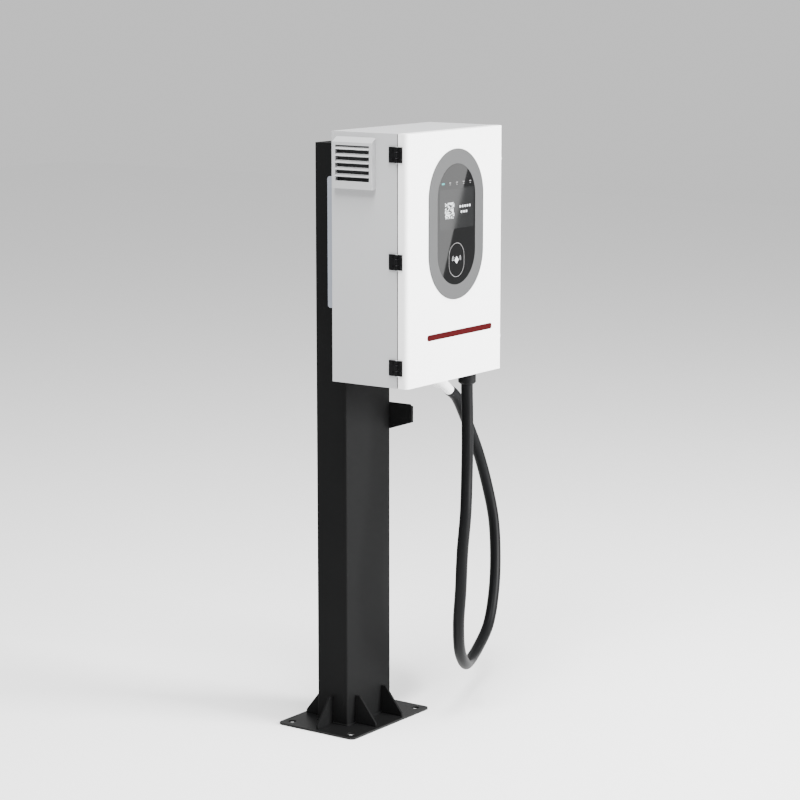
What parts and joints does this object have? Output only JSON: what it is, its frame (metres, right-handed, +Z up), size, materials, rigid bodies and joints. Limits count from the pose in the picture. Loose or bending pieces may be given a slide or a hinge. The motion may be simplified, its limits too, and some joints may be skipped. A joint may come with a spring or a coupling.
{
  "type": "ev charging post",
  "caption": "Floor-standing EV charging post: bolted box column, hinged steel cabinet with oval display, captive cable and parked connector.",
  "frame": {"origin": "centre of the column foot, on the underside of the base plate", "axes": "+Z up; +X to the right seen from the front; the front faces -Y"},
  "size_m": [0.8962, 0.463, 1.627],
  "materials": {
    "post_coat": "satin black powder coat",
    "zinc_steel": "zinc plated, satin",
    "brass": "bright",
    "bracket_coat": "satin grey powder coat",
    "black_plastic": "moulded, fine texture",
    "hinge_black": "matt black coat on zinc die casting",
    "body_coat": "white powder coat, fine orange peel",
    "door_coat": "white powder coat, fine orange peel",
    "device_plastic": "moulded",
    "module_aluminium": "satin",
    "circuit_board": "solder mask",
    "filter_foam": "open foam",
    "gasket_rubber": "matt",
    "bezel_plastic": "satin",
    "black_glass": "polished black, back printed",
    "screen": "unlit",
    "cable_rubber": "matt sheath",
    "plug_white": "moulded, satin",
    "plug_grey": "moulded, satin"
  },
  "bodies": {
    "post": {"base_plate": "post_coat", "base_gussets": "post_coat", "post_tube": "post_coat", "post_cap": "post_coat", "access_cover": "post_coat", "access_screws": "zinc_steel", "earth_stud": "brass", "cable_hanger": "post_coat", "hanger_screws": "zinc_steel", "holster_housing": "black_plastic", "holster_screws": "zinc_steel", "mounting_bracket": "bracket_coat", "bracket_bolts": "zinc_steel", "cabinet_bolts": "zinc_steel", "supply_conduit": "black_plastic", "cabinet_shell": "body_coat", "equipment_plate": "zinc_steel", "plate_standoffs": "zinc_steel", "din_rail": "zinc_steel", "circuit_breaker": "device_plastic", "surge_protector": "device_plastic", "energy_meter": "device_plastic", "aux_supply": "device_plastic", "dc_contactors": "black_plastic", "terminal_block": "device_plastic", "power_module": "module_aluminium", "control_board": "circuit_board", "vent_hood": "body_coat", "vent_slats": "body_coat", "vent_filter": "filter_foam", "fan_frame": "black_plastic", "fan_guard": "zinc_steel", "fan_screws": "zinc_steel", "intake_grille": "body_coat", "body_hinge_leaves": "hinge_black", "hinge_pins": "zinc_steel", "body_leaf_screws": "hinge_black", "lock_keepers": "zinc_steel", "cable_gland": "black_plastic", "gland_nut": "black_plastic", "charging_cable": "cable_rubber", "plug_body": "plug_white", "plug_nose": "black_plastic", "plug_pins": "brass"},
    "door": {"door_panel": "door_coat", "door_gasket": "gasket_rubber", "door_hinge_leaves": "hinge_black", "door_leaf_screws": "hinge_black", "lock_bushes": "zinc_steel", "panel_bezel": "bezel_plastic", "bezel_nuts": "zinc_steel", "display_glass": "black_glass", "lcd_module": "screen", "display_board": "circuit_board", "card_reader": "circuit_board"},
    "upper_lock": {"upper_lock": "zinc_steel"},
    "lower_lock": {"lower_lock": "zinc_steel"},
    "fan_rotor": {"fan_rotor": "black_plastic"},
    "breaker_lever": {"breaker_lever": "black_plastic"},
    "plug_button": {"plug_button": "plug_grey"}
  },
  "joints": [
    {"name": "door_hinge", "type": "hinge", "parent": "post", "child": "door", "pos_m": [-0.2246, -0.3035, 1.302], "axis": [0, 0, -1], "range_deg": [0, 110]},
    {"name": "upper_lock_turn", "type": "hinge", "parent": "door", "child": "upper_lock", "pos_m": [0.22, -0.316, 1.54], "axis": [-1, 0, 0], "range_deg": [0, 90]},
    {"name": "lower_lock_turn", "type": "hinge", "parent": "door", "child": "lower_lock", "pos_m": [0.22, -0.316, 1.064], "axis": [-1, 0, 0], "range_deg": [0, 90]},
    {"name": "fan_spin", "type": "hinge", "parent": "post", "child": "fan_rotor", "pos_m": [-0.2, -0.1735, 1.5485], "axis": [1, 0, 0], "continuous": true},
    {"name": "breaker_toggle", "type": "hinge", "parent": "post", "child": "breaker_lever", "pos_m": [-0.13, -0.1785, 1.084], "axis": [1, 0, 0], "range_deg": [0, 36]},
    {"name": "button_press", "type": "slide", "parent": "post", "child": "plug_button", "axis": [-0.1392, 0, -0.9903], "range_m": [0, 0.003], "stiffness_N_per_m": 800}
  ]
}
